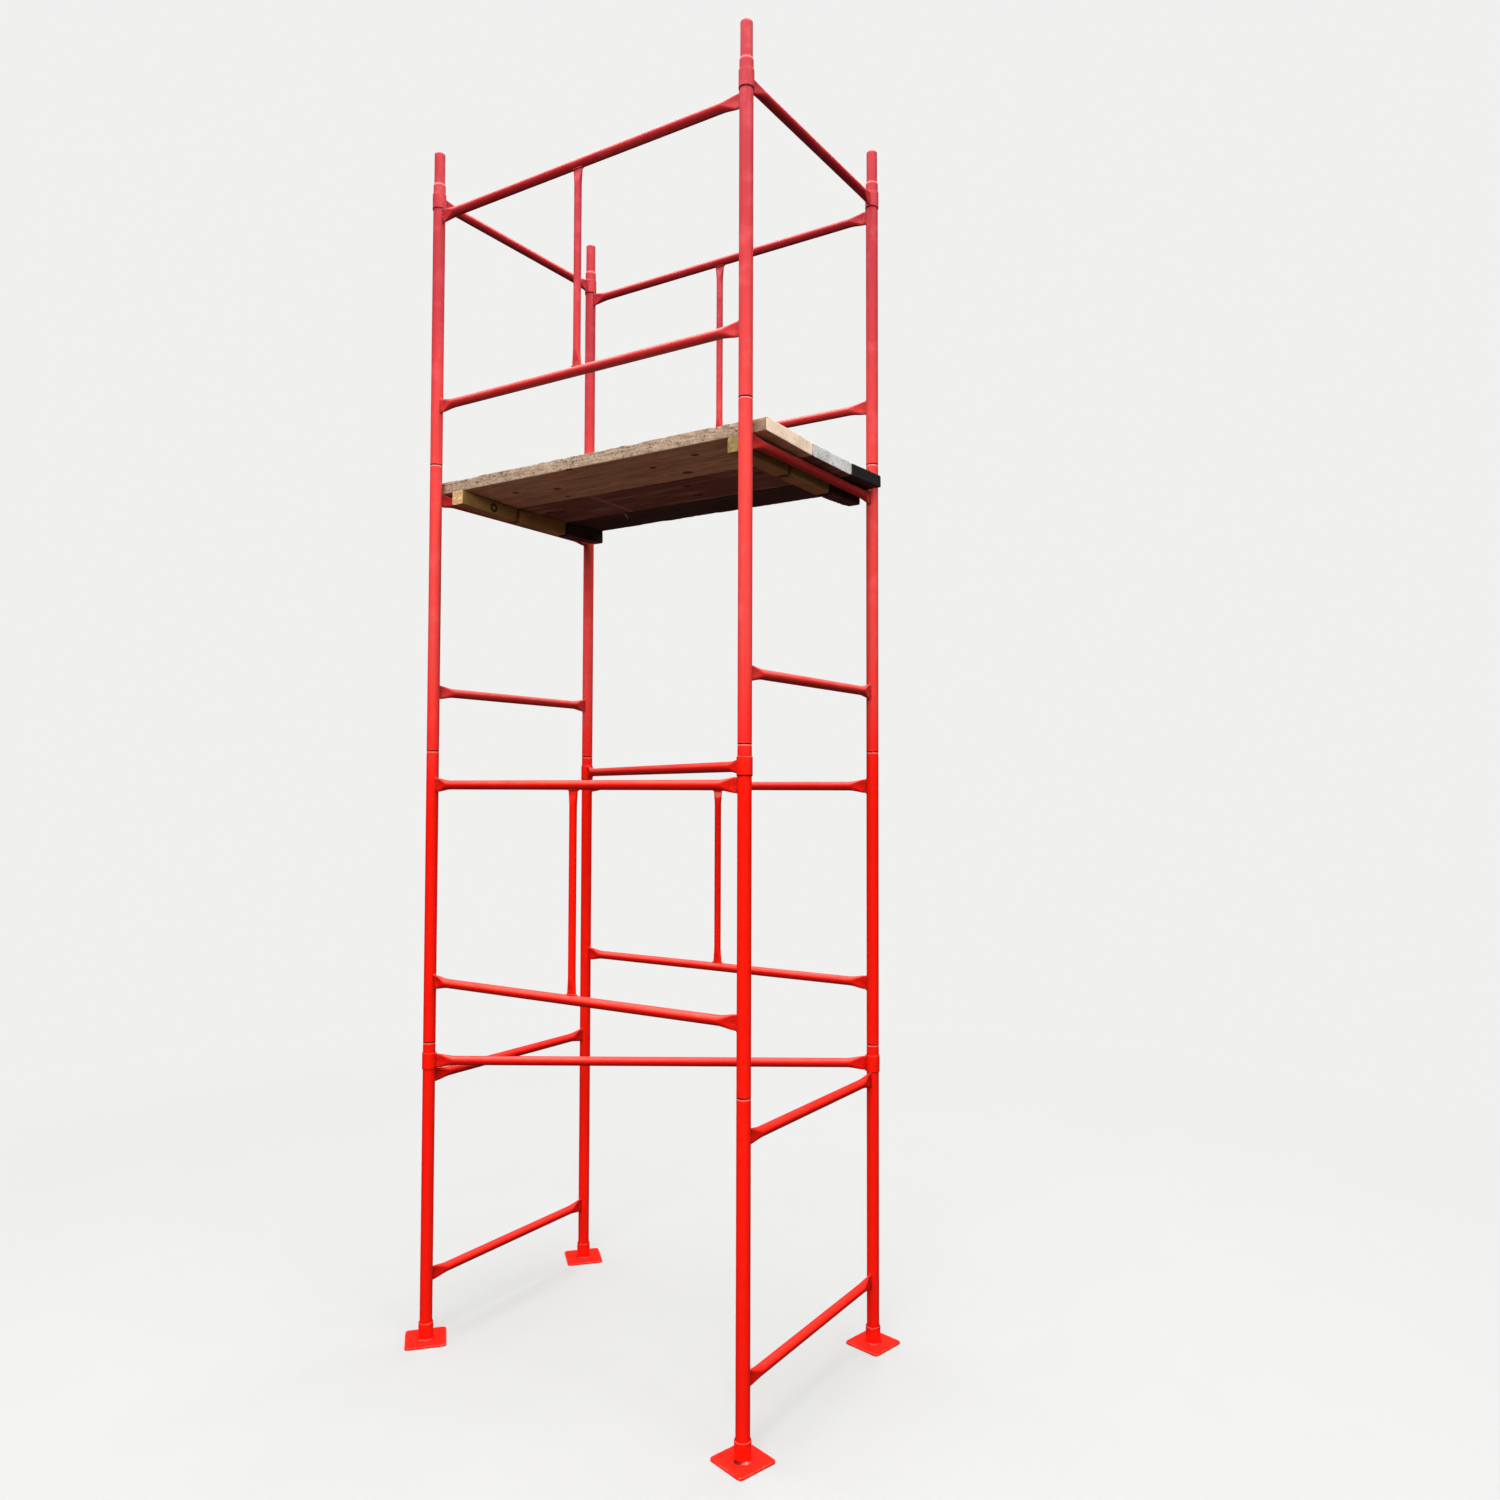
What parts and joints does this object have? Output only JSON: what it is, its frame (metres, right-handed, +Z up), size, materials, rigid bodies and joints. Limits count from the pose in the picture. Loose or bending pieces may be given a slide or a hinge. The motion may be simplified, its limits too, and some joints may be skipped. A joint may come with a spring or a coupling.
{
  "type": "tower scaffold",
  "caption": "Slot-together tower scaffold of red painted tubular frames with diagonal plan braces, guard rails, swivelling base plates and a loose timber board deck.",
  "frame": {"origin": "on the ground, at the centre of the outline of the standing tower with its base plates", "axes": "+Z up; +X along the long side, towards the right seen from the front; +Y from the front to the rear"},
  "size_m": [1.3388, 0.9066, 3.7652],
  "materials": {
    "red_paint": "worn gloss paint with weathered patches",
    "front_deck_board": "weathered sawn softwood",
    "front_deck_cleats": "green-tinged treated sawn softwood",
    "middle_deck_board": "weathered sawn softwood, one end painted pale",
    "middle_deck_cleats": "brown sawn softwood",
    "rear_deck_board": "black stained wood",
    "rear_deck_cleats": "black stained wood",
    "screws": "dull zinc plated"
  },
  "bodies": {
    "bottom_lift": {"bottom_left_frame_front_upright": "red_paint", "bottom_left_frame_rear_upright": "red_paint", "bottom_left_frame_lower_rung": "red_paint", "bottom_left_frame_upper_rung": "red_paint", "bottom_right_frame_front_upright": "red_paint", "bottom_right_frame_rear_upright": "red_paint", "bottom_right_frame_lower_rung": "red_paint", "bottom_right_frame_upper_rung": "red_paint"},
    "second_lift": {"second_front_frame_left_upright": "red_paint", "second_front_frame_right_upright": "red_paint", "second_front_frame_lower_rung": "red_paint", "second_front_frame_upper_rung": "red_paint", "second_rear_frame_left_upright": "red_paint", "second_rear_frame_right_upright": "red_paint", "second_rear_frame_lower_rung": "red_paint", "second_rear_frame_upper_rung": "red_paint", "second_frame_struts": "red_paint"},
    "third_lift": {"third_left_frame_front_upright": "red_paint", "third_left_frame_rear_upright": "red_paint", "third_left_frame_lower_rung": "red_paint", "third_left_frame_upper_rung": "red_paint", "third_right_frame_front_upright": "red_paint", "third_right_frame_rear_upright": "red_paint", "third_right_frame_lower_rung": "red_paint", "third_right_frame_upper_rung": "red_paint"},
    "top_lift": {"top_front_frame_left_upright": "red_paint", "top_front_frame_right_upright": "red_paint", "top_front_frame_lower_rung": "red_paint", "top_front_frame_upper_rung": "red_paint", "top_rear_frame_left_upright": "red_paint", "top_rear_frame_right_upright": "red_paint", "top_rear_frame_lower_rung": "red_paint", "top_rear_frame_upper_rung": "red_paint", "top_frame_struts": "red_paint"},
    "front_right_base": {"front_right_base_plate": "red_paint", "front_right_base_socket": "red_paint"},
    "front_left_base": {"front_left_base_plate": "red_paint", "front_left_base_socket": "red_paint"},
    "rear_left_base": {"rear_left_base_plate": "red_paint", "rear_left_base_socket": "red_paint"},
    "rear_right_base": {"rear_right_base_plate": "red_paint", "rear_right_base_socket": "red_paint"},
    "lower_plan_brace": {"lower_brace_tube": "red_paint", "lower_brace_sleeves": "red_paint"},
    "upper_plan_brace": {"upper_brace_tube": "red_paint", "upper_brace_sleeves": "red_paint"},
    "left_guard_rail": {"left_guard_rail_tube": "red_paint", "left_guard_rail_sleeves": "red_paint"},
    "right_guard_rail": {"right_guard_rail_tube": "red_paint", "right_guard_rail_sleeves": "red_paint"},
    "front_deck": {"front_deck_board": "front_deck_board", "front_deck_cleats": "front_deck_cleats", "front_deck_screws": "screws"},
    "middle_deck": {"middle_deck_board": "middle_deck_board", "middle_deck_cleats": "middle_deck_cleats", "middle_deck_screws": "screws"},
    "rear_deck": {"rear_deck_board": "rear_deck_board", "rear_deck_cleats": "rear_deck_cleats", "rear_deck_screws": "screws"}
  },
  "joints": [
    {"name": "front_right_base_swivel", "type": "hinge", "parent": "bottom_lift", "child": "front_right_base", "pos_m": [0.59493, -0.37, 0.006], "axis": [0, 0, 1], "continuous": true},
    {"name": "front_left_base_swivel", "type": "hinge", "parent": "bottom_lift", "child": "front_left_base", "pos_m": [-0.58607, -0.37, 0.006], "axis": [0, 0, 1], "continuous": true},
    {"name": "rear_left_base_swivel", "type": "hinge", "parent": "bottom_lift", "child": "rear_left_base", "pos_m": [-0.58607, 0.37, 0.006], "axis": [0, 0, 1], "continuous": true},
    {"name": "rear_right_base_swivel", "type": "hinge", "parent": "bottom_lift", "child": "rear_right_base", "pos_m": [0.59493, 0.37, 0.006], "axis": [0, 0, 1], "continuous": true},
    {"name": "second_lift_off", "type": "slide", "parent": "bottom_lift", "child": "second_lift", "axis": [0, 0, 1], "range_m": [0, 0.12]},
    {"name": "third_lift_off", "type": "slide", "parent": "second_lift", "child": "third_lift", "axis": [0, 0, 1], "range_m": [0, 0.12]},
    {"name": "top_lift_off", "type": "slide", "parent": "third_lift", "child": "top_lift", "axis": [0, 0, 1], "range_m": [0, 0.12]},
    {"name": "lower_brace_slide", "type": "slide", "parent": "bottom_lift", "child": "lower_plan_brace", "axis": [0, 0, 1], "range_m": [0, 0.19]},
    {"name": "upper_brace_slide", "type": "slide", "parent": "second_lift", "child": "upper_plan_brace", "axis": [0, 0, 1], "range_m": [0, 0.19]},
    {"name": "left_guard_rail_off", "type": "slide", "parent": "top_lift", "child": "left_guard_rail", "axis": [0, 0, 1], "range_m": [0, 0.25]},
    {"name": "right_guard_rail_off", "type": "slide", "parent": "top_lift", "child": "right_guard_rail", "axis": [0, 0, 1], "range_m": [0, 0.25]},
    {"name": "front_deck_lift", "type": "slide", "parent": "third_lift", "child": "front_deck", "axis": [0, 0, 1], "range_m": [0, 0.5]},
    {"name": "middle_deck_lift", "type": "slide", "parent": "third_lift", "child": "middle_deck", "axis": [0, 0, 1], "range_m": [0, 0.5]},
    {"name": "rear_deck_lift", "type": "slide", "parent": "third_lift", "child": "rear_deck", "axis": [0, 0, 1], "range_m": [0, 0.5]}
  ]
}
